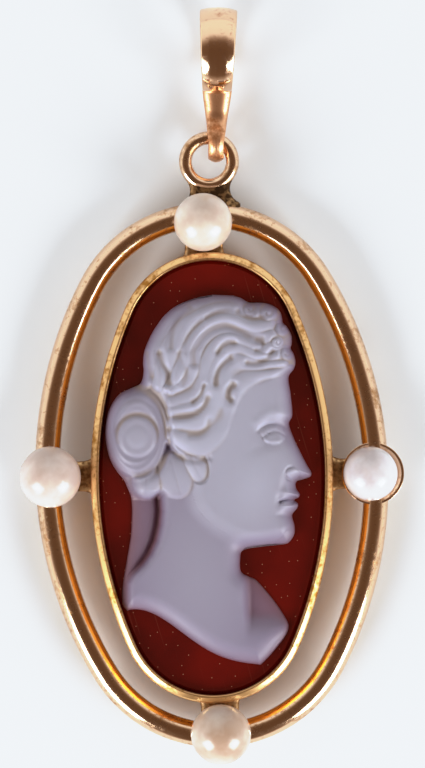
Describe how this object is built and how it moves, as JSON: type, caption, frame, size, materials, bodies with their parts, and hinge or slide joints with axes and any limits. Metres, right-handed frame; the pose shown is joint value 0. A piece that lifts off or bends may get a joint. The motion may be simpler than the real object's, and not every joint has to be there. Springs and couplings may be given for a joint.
{
  "type": "cameo pendant",
  "caption": "Oval cameo pendant: carved two-layer stone in a gold bezel, held inside a gold wire hoop set with pearls, on a swinging bail.",
  "frame": {"origin": "on the surface the pendant lies on, under the middle of its box", "axes": "+X to the right of the carved face, +Y along the pendant towards its bail, +Z out of the carved face, away from the surface"},
  "size_m": [0.0192, 0.0378, 0.0044],
  "materials": {
    "gold": "polished yellow to rose gold, worn",
    "dark_stone": "polished dark red layered stone",
    "light_stone": "satin bluish-white carved layer",
    "pearl": "cream pearl lustre"
  },
  "bodies": {
    "pendant": {"setting": "gold", "cameo_ground": "dark_stone", "cameo_relief": "light_stone", "pearl_top": "pearl", "pearl_left": "pearl", "pearl_right": "pearl", "pearl_bottom": "pearl"},
    "bail": {"bail": "gold"}
  },
  "joints": [
    {"name": "bail_swing", "type": "hinge", "parent": "pendant", "child": "bail", "pos_m": [0.00077, 0.01223, 0.0012], "axis": [0.9986, -0.0523, 0], "range_deg": [0, 90]}
  ]
}
